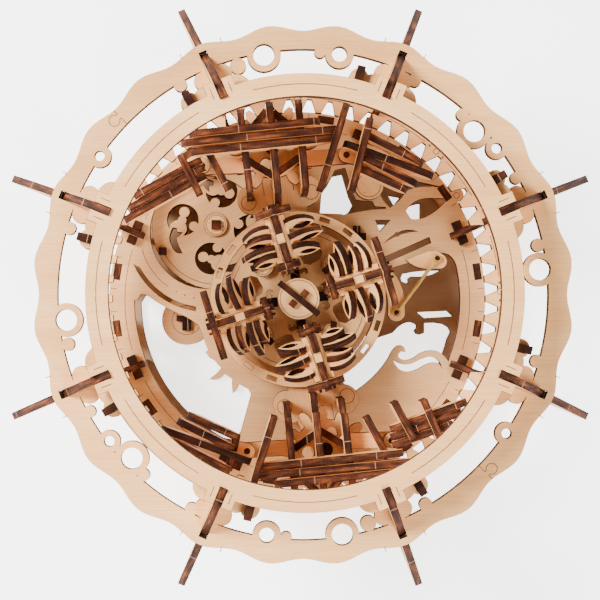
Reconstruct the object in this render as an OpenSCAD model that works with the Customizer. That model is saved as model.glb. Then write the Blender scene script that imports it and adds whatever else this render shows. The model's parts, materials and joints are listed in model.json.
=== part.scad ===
// Mechanical wooden carousel kit, cut from plywood sheet and slotted together.
// Eight finned brackets hold a base drum, a fixed toothed ring, a wavy outer
// ring and an upper ring. A driven rotor inside the drum carries two ribbed sea
// creatures and four winged figures. Z = 0 is the table, Z is the rotor's axis.

/* [Sheet] */
// Thickness of every plywood sheet
ply = 3; // [2.5:0.1:3.2]
// Clearance on each side of a sheet in its slot
slot_gap = 0.04; // [0.02:0.01:0.12]
// Radial clearance of every axle in its bore
axle_gap = 0.05; // [0.02:0.01:0.09]

/* [Drum] */
// Outer radius of the base drum
drum_r = 83; // [69:0.5:100]
// Width of the base ring's band
drum_band = 10.6; // [9:0.2:12.5]
// Height of the deck's upper face
deck_z = 25; // [23:0.5:30]
// Height of the upper ring's upper face
top_z = 118; // [98:1:142]
// Width of the upper ring's band
top_band = 8.4; // [7:0.2:10]

/* [Gears] */
// Teeth of the fixed toothed ring
ring_teeth = 60; // [60]
// Teeth of the rollers that run in the toothed ring
roller_teeth = 12; // [12]
// Teeth of the gear on the rotor's sleeve
centre_teeth = 28; // [28]
// Teeth of the drive gear
drive_teeth = 36; // [36]
// Backlash of each pair of teeth
backlash = 0.3; // [0.2:0.02:0.5]

/* [Axles] */
// Radius of the fixed spindle
spindle_r = 2.5; // [2:0.1:3]
// Radius of the gear and hinge pins
pin_r = 1.5; // [1.2:0.1:1.8]
// Wall of the rotor's sleeve
sleeve_wall = 3; // [2.5:0.1:3.6]

/* [Hidden] */
$fn = 64;

birch = "burlywood";
burnt = "saddlebrown";
k = drum_r / 83;              // layout scale of the drawn outlines
drum_in = drum_r - drum_band; // inner radius of the base ring
top_r = drum_r - 2.5 * k;     // outer radius of the upper ring
top_in = top_r - top_band;
fins = 8;
fin_a = 360 / fins;
fin_a0 = fin_a / 2;
slot_w = ply + 2 * slot_gap;
face_gap = 0.02;              // play between a sheet's face and what crosses it

gear_z = deck_z + (top_z - deck_z) / 4; // upper face of the toothed ring
wave_z = top_z - 20;                    // upper face of the wavy ring
under_z = top_z - 2 * ply;              // upper face of the under ring
ring_m = 2.7 * k;                       // module of the toothed ring
ring_pitch = ring_m * ring_teeth / 2;
ring_rim = drum_r + 7 * k;              // outer radius of the toothed ring
wave_r = 102.2 * k;
wave_in = 93.8 * k;
tip_r = 127.8 * k;

drive_c = [-36, 33.6] * k;              // axis of the drive gear
drive_m = 2 * norm(drive_c) / (drive_teeth + centre_teeth);
drive_z = deck_z - 2 * ply - 3;         // upper face of the drive gear
rotor_z = deck_z + 6.2 + ply;           // upper face of the rotor plate
halo_z = rotor_z + ply;                 // upper face of the halo ring
sleeve_in = spindle_r + axle_gap;
sleeve_r = sleeve_in + sleeve_wall;
hub_z = rotor_z + 12;                   // upper face of the hub cap

// ---------------------------------------------------------------- helpers
function arc(r, a0, a1, n = 12, c = [0, 0]) =
    [for (i = [0:n]) let (a = a0 + (a1 - a0) * i / n) c + r * [cos(a), sin(a)]];
function bez(p, q, r, n = 8) =
    [for (i = [0:n]) let (t = i / n) (1 - t) * (1 - t) * p + 2 * t * (1 - t) * q + t * t * r];
module at(r, a) rotate(a) translate([r, 0, 0]) children();
module sheet(z) translate([0, 0, z - ply]) linear_extrude(ply) children();
module upright(t = ply) rotate([90, 0, 0]) linear_extrude(t, center = true) children();
module band2d(ro, ri) difference() { circle(ro, $fn = 160); circle(ri, $fn = 160); }
module disc_at(p, r) translate(p) circle(r, $fn = 48);

// Involute gear outline, with a tooth centred on +X
function inv_a(r, rb) = let (u = sqrt(max(0, r * r / rb / rb - 1))) u * 180 / PI - atan(u);
function gear_pts(t, m, add, ded, play) =
    let (rp = m * t / 2, rb = rp * cos(20), rt = rp + add, rr = rp - ded, rs = max(rb, rr),
         half = 90 / t - play / rp * 90 / PI + inv_a(rp, rb))
    [for (i = [0:t - 1], s = [-1, 1], j = [0:4])
        let (n = s < 0 ? j : 4 - j,
             r = n == 0 ? rr : rs + (rt - rs) * (n - 1) / 3,
             a = 360 * i / t + s * (half - inv_a(max(r, rs), rb)))
        r * [cos(a), sin(a)]];
module gear2d(t, m) polygon(gear_pts(t, m, 0.9 * m, 1.2 * m, backlash / 2));

// ---------------------------------------------------------------- base drum
fin_notch = drum_r - 3 * k;     // a fin reaches in to here through each base sheet
wall_r = drum_r - 2.6 * k;      // middle radius of the drum walls
wall_a = 9;                     // wall angle each side of a sector's middle
tenon_w = 7 * k;
wall_w = 12 * k;
module base_slots() {
    for (i = [0:fins - 1]) rotate(fin_a0 + i * fin_a)
        translate([fin_notch, -slot_w / 2]) square([drum_r, slot_w]);
    for (i = [0:fins - 1], s = [-1, 1]) rotate(i * fin_a + s * wall_a)
        translate([wall_r - slot_w / 2, -tenon_w / 2 - slot_gap])
            square([slot_w, tenon_w + 2 * slot_gap]);
}

window_c = [-40, 30];
window_r = 25;
// Openings in the base sheets, drawn for a drum of 83 mm radius
splash = concat(bez([-33.7, -30], [-36, -33], [-38.8, -34.9], 3),
    bez([-38.8, -34.9], [-35, -36.4], [-31.9, -32.7], 4), [[-28.8, -34.9]],
    bez([-28.8, -34.9], [-29.2, -38], [-28.4, -41.3], 3),
    bez([-28.4, -41.3], [-26, -39.7], [-25.7, -37.1], 3));
left_bay = concat([[-70.6, 0], [-69, 2.7], [-66.8, 2.4], [-61.5, -1.3], [-55.5, -4.6],
    [-49, -7.5], [-43.5, -11], [-41.2, -17.6], [-39.4, -22.1], [-40.6, -22.9], [-38.6, -25.6],
    [-36.8, -26.5]], splash, [[-21.8, -39.3], [-20.4, -41.5], [-21.3, -45], [-25.5, -60]],
    arc(72, 246, 180));
right_bay = concat(arc(71.9, -21.9, 12, 8), bez([70.3, 15], [68, 22.5], [60.8, 20.3], 6),
    [[41.8, 14.1]], arc(34, 18, -62, 16), arc(47.6, -60, -33, 6),
    bez([40.1, -25.6], [43.6, -17.5], [47.1, -20.7], 5), [[48, -22.9], [45.6, -22.8]],
    bez([45.6, -22.8], [42.8, -25.6], [47.6, -26.5], 5),
    bez([47.6, -26.5], [50.5, -26.5], [54.2, -23.4], 4),
    bez([54.2, -23.4], [62, -19.5], [66.7, -26.9], 6));
wave_cut = concat(bez([42.3, -26.5], [46, -35.5], [56, -28.8], 8),
    bez([56, -28.8], [62, -25.6], [63.9, -30], 5), bez([63.9, -30], [62, -22.5], [54.2, -26.3], 6),
    bez([54.2, -26.3], [47.5, -30.6], [42.3, -26.5], 6));
top_bay = [[10, 38.4], [10.9, 48.6], [14.4, 53], [16.7, 57.4], [21.1, 58.3], [24.2, 47.7],
    [25.9, 44.2], [24.2, 41.1], [20.2, 38]];
eye_cut = concat(bez([48, 39.3], [51, 44.8], [58, 45], 6), [[66.6, 44.8]],
    bez([66.6, 44.8], [58, 34.5], [50.2, 35.8], 8));
arm_gap_a = [[42.3, 48.6], [47.6, 47.7], [44.9, 44.2]];
arm_gap_b = [[34.4, 35.3], [41, 35.3], [36.5, 30.2]];
upper_gap = concat([[26, 62], [33, 54], [38, 44], [40.9, 40.8]],
    bez([40.9, 40.8], [45, 43], [47.6, 47.7], 4), bez([47.6, 47.7], [52, 51.4], [65.2, 49.6], 6),
    arc(71.9, 48, 66, 6));
arm_slot = [[38.3, 19], [58.2, 27.8], [59.1, 25.2], [40, 16.8]];
lens_slot = concat(bez([38.7, 25.6], [46, 33], [53, 30.3], 6),
    bez([53, 30.3], [47, 30.5], [38.7, 25.6], 4));
cap_bay = [[22, 42], [25.9, 44.2], [27.8, 43.9], [33.1, 43.6], [34.3, 41.3], [39, 41], [39, 40.3],
    [33, 40], [26, 38.9], [20, 37.6]];
// Openings that only the lower plate has
hook_bay = concat([[37, -17], [44.5, -14.5]], bez([44.5, -14.5], [48.5, -9.4], [52.6, -9.6], 4),
    bez([52.6, -9.6], [57.4, -10.6], [54.2, -13.4], 4),
    bez([54.2, -13.4], [55, -16.6], [59, -14.6], 3), [[59, -10]],
    bez([59, -10], [70, -9], [71, -14], 4), arc(71.5, -14, -22, 3),
    [[62, -40], [44, -44], [24, -50]], arc(34, -55, -27, 4));
s_cut = concat(bez([51.5, 8.5], [46.6, 8.4], [49, 12.6], 4), bez([49, 12.6], [56, 14.4], [66, 14.2], 3),
    bez([66, 14.2], [62, 11.4], [56, 11.4], 3), bez([56, 11.4], [50, 12.4], [51.5, 8.5], 3));
slit_cut = [[55.7, -5], [69.5, -4.4], [72, -6.8], [58.9, -7.6]];

base_screw = [-49.6, -8.7];     // idler boss, beside the drive gear
cap_at = [31.4, 50.4];          // bearing cap behind the rotor
lever_at = [37.5, 13.5];        // pivot of the lever
lever_end = [43.4, -5.6];       // peg at the lever's free end
hook_end = [61.2, 18.2];        // peg of the band hook
key_r = drum_in + 5 * k;        // radius of the deck keys

module deck_plate() color(birch) difference() {
    sheet(deck_z) difference() {
        union() {
            circle(drum_r, $fn = 160);
            disc_at([70.5, 46.4] * k, 3 * k);
        }
        base_slots();
        scale(k) {
            difference() { disc_at(window_c, window_r); circle(31); }
            polygon(concat(arc(35.2, 204, 262, 12, window_c), arc(33.3, 262, 208, 12, window_c)));
            for (cut = [left_bay, right_bay, wave_cut, top_bay, eye_cut, arm_gap_a, arm_gap_b,
                        upper_gap, arm_slot, lens_slot, cap_bay]) polygon(cut);
        }
    }
    cylinder(h = 2 * deck_z, r = sleeve_r + 1);
    for (p = [cap_at, lever_at]) translate([p.x * k, p.y * k, 0]) cylinder(h = 2 * deck_z, r = pin_r);
}
module lower_plate() color(birch) difference() {
    sheet(ply) difference() {
        circle(drum_r, $fn = 160);
        base_slots();
        scale(k) {
            difference() {
                intersection() { polygon(left_bay); circle(71); }
                disc_at(base_screw, 11.2);
            }
            for (cut = [hook_bay, wave_cut, top_bay, arm_gap_a, arm_gap_b, s_cut, slit_cut])
                polygon(cut);
            intersection() { polygon(eye_cut); translate([40, 30]) square([17, 20]); }
        }
    }
    cylinder(h = ply, r = spindle_r);
    for (p = [drive_c, base_screw * k]) translate(p) cylinder(h = ply, r = pin_r);
}
module drum_walls() color(burnt) for (i = [0:fins - 1], s = [-1, 1])
    at(wall_r, i * fin_a + s * wall_a) rotate(90) upright() {
        translate([-wall_w / 2, ply]) square([wall_w, deck_z - 2 * ply]);
        translate([-tenon_w / 2, 0]) square([tenon_w, deck_z]);
    }
// A key runs crosswise through each fin's foot, on top of the deck
key_len = 10.6 * k;
key_w = 3.8 * k;
module deck_keys() color(burnt) {
    for (i = [0:fins - 1]) at(key_r, fin_a0 + i * fin_a)
        translate([-key_w / 2, -key_len / 2, deck_z]) cube([key_w, key_len, ply]);
    for (p = [[26, 31.1], [28.6, 27.9]]) translate([p.x * k - 1.6, p.y * k - 1.5, deck_z]) cube([3.2, 3, ply]);
}

// ---------------------------------------------------------------- fins
ring_notch = ring_rim - 3.5 * k;   // the toothed ring's notch for a fin starts here
top_notch = top_r - 3.2 * k;       // the upper rings' notch starts here
shoulder_r = top_in + 2 * k;       // inner edge of a fin's shoulder under the rings
wave_notch = wave_in - 5.2 * k;    // the wavy ring's slot for a fin starts here
foot_r = drum_in + 0.6 * k;
foot_z = deck_z + ply + 1.5;
function fin_outline() = let (w = wave_z, g = gear_z) concat(
    bez([top_notch + slot_gap, top_z + 1], [90 * k, top_z - 4], [99 * k, w - 1.5], 8),
    bez([99 * k, w - 1.5], [114 * k, w - 17], [tip_r, w - 35.5], 8),
    bez([tip_r - 2.2 * k, w - 39.4], [117 * k, w - 31], [109 * k, w - 33], 6),
    bez([109 * k, w - 33], [98 * k, w - 46], [95 * k, g - 10], 6),
    [[92 * k, 0], [fin_notch, 0], [fin_notch, ply + face_gap], [foot_r, ply + face_gap],
     [foot_r, deck_z - ply - face_gap], [fin_notch, deck_z - ply - face_gap],
     [fin_notch, deck_z], [foot_r, deck_z], [foot_r, foot_z]],
    bez([foot_r + 4 * k, foot_z + 1], [ring_notch - 1, foot_z + 2], [ring_notch - 2.5 * k, g - 8], 6),
    bez([ring_notch - 2.4 * k, g + 1.5], [90 * k, g + 12], [99.5 * k, w - 23], 8),
    bez([99.5 * k, w - 23], [97 * k, w - 10], [84 * k, w + 3], 8),
    [[shoulder_r, under_z - ply - 3.5], [shoulder_r, top_z - ply - face_gap],
     [top_notch + slot_gap, top_z - ply - face_gap]]);
function fin_window() = let (w = wave_z) concat(
    bez([103 * k, w - 14], [107 * k, w - 20], [115 * k, w - 27], 6),
    bez([115 * k, w - 27], [106 * k, w - 25], [103 * k, w - 14], 6));
module fin(i) color(burnt) rotate(fin_a0 + (i - 1) * fin_a) difference() {
    upright() difference() { polygon(fin_outline()); polygon(fin_window()); }
    // cross-lap slots of the toothed ring and the wavy ring, and the key's hole
    translate([0, -ply, gear_z - ply - face_gap])
        cube([ring_notch, 2 * ply, ply + 2 * face_gap]);
    translate([key_r - key_w / 2 - slot_gap, -ply, deck_z - face_gap])
        cube([key_w + 2 * slot_gap, 2 * ply, ply + 2 * face_gap]);
    translate([0, -ply, under_z - ply - face_gap])
        cube([top_notch + slot_gap, 2 * ply, ply + 2 * face_gap]);
    translate([0, -ply, wave_z - ply - face_gap]) cube([wave_notch, 2 * ply, ply + 2 * face_gap]);
}
module fin_slots(r_in, r_out) for (i = [0:fins - 1]) rotate(fin_a0 + i * fin_a)
    translate([r_in, -slot_w / 2]) square([r_out - r_in, slot_w]);

// ---------------------------------------------------------------- rings
ring_turn = 3;     // turns the ring's teeth off the fins, in degrees
module toothed_ring() color(birch) sheet(gear_z) difference() {
    circle(ring_rim, $fn = 160);
    rotate(ring_turn)
        polygon(gear_pts(ring_teeth, ring_m, 1.2 * ring_m, 0.8 * ring_m, -backlash / 2));
    fin_slots(ring_notch, 2 * ring_rim);
}
lobe_a = 8.3;      // angle from a fin to the hook peg beside it
lobe_r = top_r + 2 * k;
under_in = top_in + 1.6 * k;
module under_ring() color(birch) sheet(under_z) difference() {
    union() {
        band2d(top_r, under_in);
        for (i = [0:fins - 1]) {
            a = fin_a0 + i * fin_a;
            for (s = [-4, 0, 4]) rotate(a + s) disc_at([top_r - k, 0], 6 * k);
            rotate(a + lobe_a) disc_at([lobe_r, 0], 3.6 * k);
        }
    }
    circle(under_in, $fn = 160);
    fin_slots(top_notch, 2 * top_r);
    for (i = [0:fins - 1]) rotate(fin_a0 + i * fin_a + lobe_a)
        translate([lobe_r - peg_l / 2 - slot_gap, -slot_w / 2]) square([peg_l + 2 * slot_gap, slot_w]);
}
module upper_ring() color(birch) sheet(top_z) difference() {
    union() {
        band2d(top_r, top_in);
        fin_tabs();
    }
    fin_slots(top_notch, 2 * top_r);
}
module fin_tabs() for (i = [0:fins - 1]) rotate(fin_a0 + i * fin_a)
    translate([top_in + k, -5.6 * k]) square([top_r + 2.8 * k - top_in, 11.2 * k]);
peg_l = 4.4;
peg_drop = 7;      // how far a hook peg hangs under its ring
module hook_pegs() color(burnt) for (i = [0:fins - 1]) at(lobe_r, fin_a0 + i * fin_a + lobe_a) {
    translate([-peg_l / 2, -ply / 2, under_z - ply - peg_drop]) cube([peg_l, ply, ply + peg_drop]);
    translate([-peg_l, -ply / 2, under_z]) cube([peg_l + 4, ply, ply - 0.2]);
    translate([-peg_l / 2 - 1, -ply / 2, under_z - ply - peg_drop - 2]) cube([peg_l + 2, ply, 2]);
}
module peg_bands() color("goldenrod") for (i = [0:fins - 1], n = [0:1])
    at(lobe_r, fin_a0 + i * fin_a + lobe_a)
        translate([0, 0, under_z - ply - 1.2 - 2.2 * n]) rotate_extrude($fn = 40)
            translate([norm([peg_l, ply]) / 2 + 0.6, 0]) square([1.2, 1.8], center = true);

// Eyelets and bumps of half the wavy ring: angle, radius, outer radius, hole
eyelets = [[99.3, 92.9, 6.5, 4.1], [81.4, 93, 5.5, 2.9], [43.7, 90.5, 6.7, 4.1],
    [37.1, 92.8, 4.3, 2], [6.1, 91, 6.5, 4.1], [145.7, 94.1, 4.5, 1.9]];
bumps = [[105.9, 90.9, 3.1], [86, 92.9, 2.2], [120.3, 92.9, 2.6], [164.1, 92.9, 2.6],
    [62.5, 92.4, 2.6], [48.5, 91.9, 2.4], [28.7, 92.9, 2.4], [11.9, 91.8, 2.6]];
wave_amp = 1.3;    // height of the wavy ring's outer waves
joint_a = 135.8;   // where the wavy ring's two halves meet
module wavy2d() difference() {
    union() {
        difference() {
            polygon([for (a = [0:1.5:358.5])
                (wave_r + wave_amp * cos(3 * fins * (a - fin_a0))) * [cos(a), sin(a)]]);
            circle(wave_in, $fn = 160);
        }
        for (i = [0:fins - 1]) rotate(fin_a0 + i * fin_a) {
            translate([wave_in - 7.4 * k, -3.6 * k]) square([9 * k, 7.2 * k]);
            for (s = [-1, 1]) disc_at([wave_in - 3.8 * k, s * 4 * k], 3.6 * k);
        }
        for (h = [0, 180]) rotate(h) scale(k) {
            for (e = eyelets) rotate(e[0]) disc_at([e[1], 0], e[2]);
            for (b = bumps) rotate(b[0]) disc_at([b[1], 0], b[2]);
        }
    }
    for (h = [0, 180], e = eyelets) rotate(h) scale(k) rotate(e[0]) disc_at([e[1], 0], e[3]);
    fin_slots(wave_notch - slot_gap, wave_in + 6.7 * k);
}
// One half ends in a tongue that hooks into the other half's socket
module joint_key(g) {
    disc_at([wave_in + 4.2 * k, 2.6 * k], 2.1 * k + g);
    translate([wave_in + 3.2 * k - g, -k]) square([2 * k + 2 * g, 3 * k]);
}
module half2d() difference() {
    union() {
        intersection() {
            rotate(joint_a - 180) translate([-150 * k, slot_gap / 2]) square([300 * k, 150 * k]);
            wavy2d();
        }
        rotate(joint_a) joint_key(0);
    }
    rotate(joint_a - 180) joint_key(slot_gap);
}
module wavy_ring_a() color(birch) sheet(wave_z) half2d();
module wavy_ring_b() color(birch) sheet(wave_z) rotate(180) half2d();

// ---------------------------------------------------------------- drive
module spindle() color(burnt) {
    cylinder(h = hub_z - ply - 0.6, r = spindle_r);
    translate([0, 0, ply]) cylinder(h = ply, r = spindle_r + 2.4);
}
// The drive gear carries a round face plate with four scroll openings
gear_face = 28.6 * k;
module scroll() {
    difference() {
        disc_at([-14.9, 2.4], 7);
        disc_at([-14.2, 5.8], 2.4);
        disc_at([-10, -0.5], 2.2);
        disc_at([-15.2, 2.2], 2);
        disc_at([-17, -1.5], 3.9);
    }
    polygon(concat(bez([-19.4, -1.1], [-22, -5.5], [-20, -8.9], 5), bez([-20, -8.9], [-18.6, -13.4], [-15.1, -12.4], 5),
        bez([-15.1, -12.4], [-17.4, -8.5], [-17.8, -5.6], 5), bez([-17.8, -5.6], [-15.6, -4.4], [-15, -3.1], 3),
        bez([-15, -3.1], [-18.3, -3.9], [-17.6, -1.4], 3)));
}
module drive_gear() color(birch) translate(concat(drive_c, 0)) {
    difference() {
        union() {
            sheet(drive_z) rotate(drive_turn) gear2d(drive_teeth, drive_m);
            sheet(drive_z + ply) circle(gear_face, $fn = 120);
        }
        translate([0, 0, drive_z - 2 * ply]) linear_extrude(4 * ply) for (a = [0:90:270]) rotate(a) scale(k) scroll();
        cylinder(h = deck_z, r = pin_r + axle_gap);
    }
    translate([-25.6 * k, -13.3 * k, drive_z + ply]) cube([3.4, 3.2, 2.4]);
}
drive_turn = atan2(-drive_c.y, -drive_c.x) + 180 / drive_teeth;
module drive_pin() color(burnt) translate(concat(drive_c, 0)) {
    cylinder(h = drive_z + ply + 0.6, r = pin_r);
    translate([0, 0, ply]) cylinder(h = drive_z - 2 * ply - 0.4, r = 2.6 * pin_r);
    translate([0, 0, drive_z + ply + 0.4]) cylinder(h = 1.2, r = 4.9 * k);
    translate([-2, -2, drive_z + ply + 1.6]) cube([4, 4, 1.8]);
}
module centre_gear() color(birch) difference() {
    sheet(drive_z) rotate(atan2(drive_c.y, drive_c.x)) gear2d(centre_teeth, drive_m);
    cylinder(h = deck_z, r = sleeve_r);
}
module idler_boss() color(birch) translate(concat(base_screw * k, 0)) {
    translate([0, 0, ply]) cylinder(h = 9, r = 11.2 * k);
    cylinder(h = ply, r = pin_r);
    translate([-1.9, -4.6, ply + 9]) cube([3.8, 5, 2]);
    translate([-4.5, -0.4, ply + 9]) cube([9, 2.4, 2]);
}
module bearing_cap() color(birch) translate(concat(cap_at * k, 0)) {
    translate([0, 0, deck_z]) cylinder(h = ply, r = 6.4 * k);
    translate([0, 0, deck_z - ply]) cylinder(h = ply, r = pin_r);
}
lever_z = deck_z + 0.3;         // underside of the lever
peg_r = 0.9;
peg_h = 2.4;
module lever() color(birch) {
    difference() {
        translate([0, 0, lever_z]) linear_extrude(ply) scale(k)
            polygon(concat([[34.8, 19.5], [38.5, 18], [42, 12]], bez([42, 12], [47.5, 6], [47.2, -5], 6),
                arc(3.9, 10, -160, 8, lever_end), bez([39.6, -6], [40.5, 4], [35.5, 8.4], 6)));
        translate(concat(lever_at * k, 0)) cylinder(h = 2 * deck_z, r = pin_r + axle_gap);
    }
    translate(concat(lever_end * k, lever_z + ply)) cylinder(h = peg_h, r = peg_r);
}
module lever_pin() color(burnt) translate(concat(lever_at * k, 0)) {
    translate([0, 0, deck_z - ply]) cylinder(h = 2 * ply + 0.5, r = pin_r);
    translate([0, 0, lever_z + ply + 0.2]) cylinder(h = 1.2, r = 2.4);
}
module band_hook() color(birch) {
    translate([0, 0, deck_z]) linear_extrude(ply) scale(k)
        polygon(concat(bez([47.6, 17.4], [53, 12.6], [60.6, 13.6], 6), arc(3.4, -70, 60, 8, [62.2, 16.9]),
            [[61, 21.8], [57, 21.4], [52, 19.4]]));
    translate(concat(hook_end * k, deck_z + ply)) cylinder(h = peg_h, r = peg_r);
}
// The rubber band: an eye round each peg, with room for the lever's peg to swing
band_t = 0.8;
band_w = 1.7;
band_h = 1.2;
band_z = deck_z + ply + 0.9;
band_play = 0.7;
module rubber_band() color("goldenrod") {
    d = (hook_end - lever_end) * k;
    ra = peg_r + axle_gap + band_play;
    rb = peg_r + axle_gap;
    translate(concat(lever_end * k, band_z)) rotate(atan2(d.y, d.x))
        linear_extrude(band_h) difference() {
            union() {
                disc_at([band_play, 0], ra + band_t);
                disc_at([norm(d), 0], rb + band_t);
                translate([0, -band_w / 2]) square([norm(d), band_w]);
            }
            disc_at([band_play, 0], ra);
            disc_at([norm(d), 0], rb);
        }
}

// ---------------------------------------------------------------- rotor
spine_a = 17.5;    // angle of the first winged figure
arm_a = 100;       // angle of the first creature's arm
roller_r = ring_pitch - ring_m * roller_teeth / 2;
halo_r = 38 * k;
halo_in = 33.5 * k;
module rotor_plate() color(birch) difference() {
    sheet(rotor_z) difference() {
        union() {
            circle(31 * k);
            for (h = [0, 180]) rotate(arm_a + h) {
                translate([0, -11 * k]) square([44 * k, 22 * k]);
                polygon([[44, -11], [54, -9], [roller_r / k, -5.5], [roller_r / k, 5.5], [54, 9],
                    [44, 11]] * k);
                disc_at([roller_r, 0], 5.5 * k);
                for (s = [-1, 1]) disc_at([46 * k, s * 12 * k], 6.5 * k);
            }
            for (h = [0, 180]) creature_at(h) for (b = leg_ribs) along(b[0], b[1])
                disc_at([leg_reach(b, h)[0] + 1, 0], 5.6 * k);
        }
        for (i = [0:3]) rotate(76 + 90 * i) translate([21, 0] * k) rotate(45) scale(k)
            polygon([[-4.5, -2.5], [-2.5, -4.5], [3, -4.5], [4.5, -2.5], [4.5, 3], [2.5, 4.5],
                [-3, 4.5], [-4.5, 2.5]]);
        for (i = [0:3]) rotate(7 + 90 * i) scale(k) {
            for (s = [-1, 1]) difference() { disc_at([11.8, 4.2 * s], 1.5); disc_at([10.9, 4 * s], 0.9); }
            translate([11.6, -4]) square([1, 8]);
        }
        for (h = [0, 180]) creature_at(h) leg_slots(h);
    }
    cylinder(h = 2 * rotor_z, r = sleeve_r);
    for (h = [0, 180]) at(roller_r, arm_a + h) cylinder(h = 2 * rotor_z, r = pin_r);
}
module rotor_sleeve() color(burnt) difference() {
    union() {
        translate([0, 0, 2 * ply + 0.3]) cylinder(h = hub_z - ply - 2 * ply - 0.3, r = sleeve_r);
        translate([0, 0, rotor_z - ply - 2.5]) cylinder(h = 2.5, r = sleeve_r + 1.5);
    }
    cylinder(h = 2 * hub_z, r = sleeve_in);
}
module curl_pegs() color(burnt) for (a = [7:90:277]) rotate(a)
    translate([11 * k - 2, -2, rotor_z]) cube([4, 4, 3.4]);
module halo_ring() color(birch) sheet(halo_z) difference() {
    band2d(halo_r, halo_in);
    for (i = [0:3]) rotate(spine_a + 90 * i) translate([0, -slot_w / 2])
        square([halo_in + 2 * k, slot_w]);
    for (i = [0:3], s = [-1, 1]) rotate(spine_a + 45 + 90 * i + 9 * s)
        translate([35 * k, -2.2 * k]) square([1.8, 4.4] * k);
}
module corner_caps() color(birch) for (i = [0:3]) at(21.3 * k, 46 + 90 * i) {
    translate([0, 0, rotor_z]) cylinder(h = ply, r = 4.8 * k);
    translate([0, 0, halo_z]) rotate([45, 20, -45, 90][i] - 46 - 90 * i)
        translate([-5.4 * k, -1.3, 0]) cube([10.8 * k, 2.6, 2]);
}
module hub_cap() color(birch) translate([0, 0, hub_z - ply]) cylinder(h = ply, r = 8.8 * k);
module hub_bar() color(burnt) translate([0, 0, hub_z]) rotate(-39) {
    translate([-10.8 * k, -1.25, 0]) cube([21.6 * k, 2.5, 3.2]);
    for (s = [-1, 1]) translate([s * 0.6 - 1.5, s * 3.2 - 1.5, 0]) cube([3, 3, 2]);
}

// Winged figures: a radial spine, cross plates at its ends, and hinged wings
wing_z = rotor_z + 17;     // height of the wings' hinge axes
wing_off = 3.1;            // hinge axis to the spine's middle plane
spine_in = 11.2 * k;
spine_out = 40.5 * k;
crest_r = 37.6 * k;
bracket_r = 14.4 * k;
saddle_r = 26 * k;          // a light saddle crosses the spine here
lap = ply / 2 + slot_gap;
function spine_outline() = concat([[17 * k, rotor_z], [16 * k, rotor_z + 5], [spine_in, rotor_z + 8],
     [spine_in, wing_z - 1]],
    bez([spine_in, wing_z - 1], [spine_in + 1, wing_z + 8], [24 * k, wing_z + 5], 6),
    bez([24 * k, wing_z + 5], [34 * k, wing_z + 2], [spine_out, wing_z + 7], 5),
    [[spine_out, halo_z + 1]],
    bez([spine_out, halo_z - 1.5], [halo_r, halo_z - ply - 1], [halo_in + 1, rotor_z], 3));
module figure_spines() color(burnt) for (i = [0:3]) rotate(spine_a + 90 * i) difference() {
    upright() difference() {
        polygon(spine_outline());
        polygon(concat(bez([20 * k, rotor_z + 4], [22 * k, wing_z - 4], [29 * k, rotor_z + 7], 6),
            [[25 * k, rotor_z + 3]]));
    }
    translate([halo_in + 2 * k + slot_gap, -ply, rotor_z - 5]) cube([20, 2 * ply, ply + 5 + face_gap]);
    for (r = [bracket_r, crest_r]) translate([r - slot_w / 2, -ply, wing_z - ply])
        cube([slot_w, 2 * ply, 40]);
    translate([saddle_r - 2.2, -ply, wing_z + 1]) cube([4.4, 2 * ply, 40]);
}
// Cross plates straddle the spines and carry the wings' hinge pins
function cross_pts(w, h) = concat([[-w, 1], [2 - w, -3.5], [-lap, -5], [-lap, face_gap - ply],
    [lap, face_gap - ply], [lap, -5], [w - 2, -3.5], [w, 1], [w - 3, 4]],
    bez([w - 3, 4], [2, 3.5], [0, h], 5), bez([0, h], [-2, 3.5], [3 - w, 4], 5));
module crossplate(r, w, h) translate([r, 0, 0]) rotate(90) difference() {
    upright() translate([0, wing_z]) polygon(cross_pts(w, h));
    for (s = [-1, 1]) translate([s * wing_off, 0, wing_z]) rotate([90, 0, 0])
        cylinder(h = 20, r = wing_pin_r, center = true, $fn = 32);
}
wing_pin_r = 0.6;
module figure_crests() color(burnt) for (i = [0:3]) rotate(spine_a + 90 * i) {
    crossplate(crest_r, i % 2 == 0 ? 15 * k : 8 * k, 9);
    crossplate(bracket_r, 5, 4.4);
    translate([saddle_r - 2.1, -ply / 2, wing_z + 1]) cube([4.2, ply, ply]);
}
module wing_pins() color(burnt) for (i = [0:3], s = [-1, 1])
    rotate(spine_a + 90 * i) translate([bracket_r - ply, s * wing_off, wing_z])
        rotate([0, 90, 0]) cylinder(h = crest_r - bracket_r + 2 * ply, r = wing_pin_r, $fn = 32);

// A wing: a narrow hinge bar along the pin and tilted leaf plates
leaf = concat(bez([0, -1.6], [7, -6], [15, -1], 6), bez([15, -1], [9, 4.8], [0, 3], 6));
leaf_hole = concat(bez([3.4, -0.5], [8, -4], [13, -0.9], 6), bez([13, -0.9], [8, 2.6], [3.4, -0.5], 6));
bar_in = bracket_r + ply / 2 + 0.4;
bar_out = crest_r - ply / 2 - 0.4;
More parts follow.
